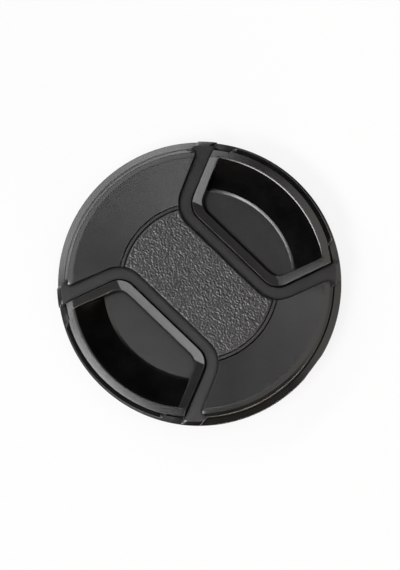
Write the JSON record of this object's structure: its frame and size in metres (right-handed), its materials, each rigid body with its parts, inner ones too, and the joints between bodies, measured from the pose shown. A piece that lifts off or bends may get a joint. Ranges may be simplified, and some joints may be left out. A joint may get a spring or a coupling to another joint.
{
  "type": "camera lens cap",
  "caption": "Round centre-pinch lens cap: sprung finger-pocket grips draw in ridged jaws that clip into a lens's filter thread.",
  "frame": {"origin": "centre of the cap on the plane of the skirt's foot, where the cap rests with its front up", "axes": "+X along the pinch axis towards the right slider, +Y across it, +Z out of the front of the cap"},
  "size_m": [0.0704, 0.0704, 0.0099],
  "materials": {
    "cap_plastic": "black moulded ABS, satin, with a fine leather grain on the centre panel",
    "slider_plastic": "black moulded ABS, satin",
    "cover_plastic": "black moulded ABS, matt spark-eroded",
    "spring_steel": "drawn spring wire, bright"
  },
  "bodies": {
    "shell": {"front_shell": "cap_plastic", "back_cover": "cover_plastic", "lower_spring": "spring_steel", "upper_spring": "spring_steel"},
    "right_grip": {"right_slider": "slider_plastic"},
    "left_grip": {"left_slider": "slider_plastic"}
  },
  "joints": [
    {"name": "right_pinch", "type": "slide", "parent": "shell", "child": "right_grip", "axis": [-1, 0, 0], "range_m": [0, 0.0022], "stiffness_N_per_m": 300, "springref_m": -0.006, "deforming": ["lower_spring", "upper_spring"]},
    {"name": "left_pinch", "type": "slide", "parent": "shell", "child": "left_grip", "axis": [1, 0, 0], "range_m": [0, 0.0022], "stiffness_N_per_m": 300, "springref_m": -0.006, "deforming": ["lower_spring", "upper_spring"]}
  ]
}
